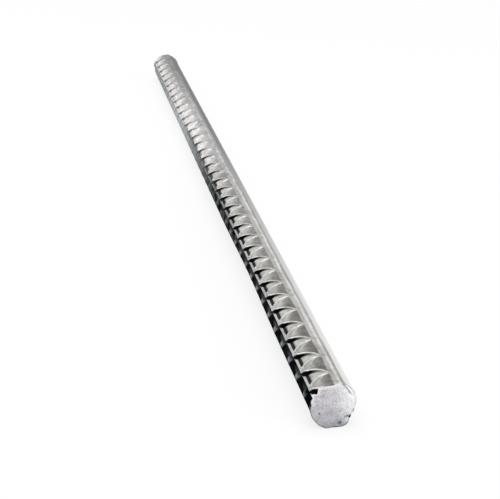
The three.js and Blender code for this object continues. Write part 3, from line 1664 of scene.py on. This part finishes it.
@dataclass(frozen=True)
class BarSteel:
    """The whole bar's finish: rolled outside and torn on the cuts."""

    rolled: RolledSteel = field(default_factory=RolledSteel)
    torn: TornSteel = field(default_factory=TornSteel)
    border: Ramp = Ramp(-0.25, 0.1)
    border_mottle: float = 1.2
    mottle: Noise = Noise(160.0, detail=4.0)
    streaks: Noise = Noise(500.0, 0.1, rough=0.55)
    grain: Noise = Noise(1400.0)
    streak_height: float = 0.35
    grain_height: float = 0.35
    mottle_height: float = 0.3
    bump_strength: float = 0.4
    bump_distance: float = 0.0005
    roughness: float = 0.42
    shade_roughness: float = 0.2
    streak_roughness: float = 0.08
    torn_roughness: float = 0.6
    metallic: float = 0.8
    torn_metallic: float = 0.3

    def material(self) -> bpy.types.Material:
        """Makes the material. Painted shade isn't metallic, and the torn face is only a little so.

        Returns:
            The material.
        """
        p = Painter("bar_steel")
        at = self.rolled.finder.find(p)
        base, dark = self.rolled.colours(p, at)
        mottle, streak, grain = self.mottle.of(p), self.streaks.of(p), self.grain.of(p)
        height = streak * self.streak_height + grain * self.grain_height
        height = height + mottle * self.mottle_height
        torn_base, torn_height = self.torn.colours(p, at.inner)
        torn = self.border.of(at.inner + (mottle - 0.5) * self.border_mottle)
        bump = {
            "Strength": self.bump_strength,
            "Distance": self.bump_distance,
            "Height": p.blend(torn, height, torn_height),
        }
        rough = self.roughness + dark * self.shade_roughness + streak * self.streak_roughness
        metallic = self.metallic * (1.0 - dark)
        inputs = {
            "Base Color": p.mix(torn, base, torn_base),
            "Roughness": p.blend(torn, rough, self.torn_roughness),
            "Metallic": p.blend(torn, metallic, self.torn_metallic),
            "Specular IOR Level": 0.0,
            "Normal": p.node("ShaderNodeBump", {}, bump),
        }
        return p.finish(inputs)


# ---------------------------------------------------------------- studio


@dataclass(frozen=True)
class Lamp:
    """A square soft lamp. Place and size in metres, power in watts."""

    name: str
    place: tuple[float, float, float]
    size: float
    power: float

    def build(self, aim: tuple[float, float, float]) -> None:
        """Makes the lamp.

        Args:
            aim: place that it faces.
        """
        data = bpy.data.lights.new(self.name, "AREA")
        data.shape = "SQUARE"
        data.size = self.size
        data.energy = self.power
        lamp = bpy.data.objects.new(self.name, data)
        lamp.location = self.place
        direction = Vector(aim) - Vector(self.place)
        lamp.rotation_mode = "QUATERNION"
        lamp.rotation_quaternion = direction.to_track_quat("-Z", "Y")
        bpy.context.scene.collection.objects.link(lamp)


@dataclass(frozen=True)
class Studio:
    """Floor, lamps, surroundings and camera. Places in metres.

    The camera is first turned and pitched, and then rolled about the middle line of the bar.
    """

    camera_place: tuple[float, float, float] = (-0.16638, -1.29325, 0.36761)
    camera_pitch: float = math.radians(17.88)
    camera_turn: float = math.radians(8.445)
    camera_roll: float = math.radians(3.53)
    axis_height: float = 0.0137
    lens: float = 111.6
    sensor: float = 36.0
    clip_end: float = 50.0
    floor_size: float = 8.0
    floor_colour: Colour = colour(0.82, 0.82, 0.82)
    white: Colour = colour(1.0, 1.0, 1.0)
    glow: float = 0.82
    world_strength: float = 0.35
    lamp_aim: tuple[float, float, float] = (0.0, -0.25, 0.0)
    lamps: tuple[Lamp, ...] = (
        Lamp("key", (-1.0, 1.8, 1.1), 1.6, 12.0),
        Lamp("top", (0.1, 0.0, 2.6), 2.4, 60.0),
        Lamp("side", (1.2, -2.3, 0.9), 1.2, 24.0),
    )

    def floor(self) -> None:
        """A plain pale floor."""
        half = self.floor_size / 2
        mesh = bpy.data.meshes.new("floor")
        corners = [(-half, -half, 0), (half, -half, 0), (half, half, 0), (-half, half, 0)]
        mesh.from_pydata(corners, [], [(0, 1, 2, 3)])
        plane = bpy.data.objects.new("floor", mesh)
        bpy.context.scene.collection.objects.link(plane)
        painter = Painter("pale_floor")
        mesh.materials.append(self.floor_material(painter))

    def floor_material(self, painter: Painter) -> bpy.types.Material:
        """Matt white that glows where it is seen, directly or in metal, so that it stays white.

        Args:
            painter: painter of the material.

        Returns:
            The material.
        """
        seen = [
            painter.node("ShaderNodeLightPath", {}, {}, name)
            for name in ("Is Camera Ray", "Is Glossy Ray", "Is Transmission Ray")
        ]
        direct = seen[0].larger(seen[1]).larger(seen[2])
        matt = painter.node("ShaderNodeBsdfDiffuse", {}, {"Color": self.floor_colour})
        glow = painter.node("ShaderNodeEmission", {}, {"Color": self.white})
        both = painter.node("ShaderNodeMixShader", {}, {0: direct * self.glow, 1: matt, 2: glow})
        return painter.end(both)

    def world(self) -> None:
        """Even pale surroundings."""
        world = bpy.data.worlds.new("studio")
        world.use_nodes = True
        background = world.node_tree.nodes["Background"]
        background.inputs["Color"].default_value = self.white
        background.inputs["Strength"].default_value = self.world_strength
        bpy.context.scene.world = world

    def camera(self) -> None:
        """Camera that looks down along the bar from beyond its near end."""
        data = bpy.data.cameras.new("camera")
        data.lens = self.lens
        data.sensor_width = self.sensor
        data.clip_end = self.clip_end
        camera = bpy.data.objects.new("camera", data)
        aim = Euler((math.pi / 2 - self.camera_pitch, 0.0, -self.camera_turn))
        axis = Matrix.Translation((0.0, 0.0, self.axis_height))
        roll = axis @ Matrix.Rotation(self.camera_roll, 4, "Y") @ axis.inverted()
        camera.matrix_world = roll @ Matrix.LocRotScale(Vector(self.camera_place), aim, None)
        bpy.context.scene.collection.objects.link(camera)
        bpy.context.scene.camera = camera

    def build(self) -> None:
        """Sets up everything around the bar."""
        self.camera()
        self.floor()
        self.world()
        for lamp in self.lamps:
            lamp.build(self.lamp_aim)


def write_sizes() -> None:
    """Updates the view layer."""
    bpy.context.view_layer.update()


def main() -> None:
    """Builds the studio and the bar."""
    logging.basicConfig(level=logging.INFO, format="%(name)s: %(message)s")
    bpy.context.scene.view_settings.view_transform = "Standard"
    Studio().build()
    pattern = RolledPattern()
    seam_angle = pattern.resting_angle()
    log.info("seam rests at %.2f degrees", math.degrees(seam_angle))
    bar = RibbedBar(seam_angle=seam_angle).build()
    bar.data.materials.append(BarSteel().material())
    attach(bar, "root")
    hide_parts(BAR_NODE)
    log.info("bar: %d triangles", len(bar.data.polygons))
    write_sizes()


if __name__ == "__main__":
    main()
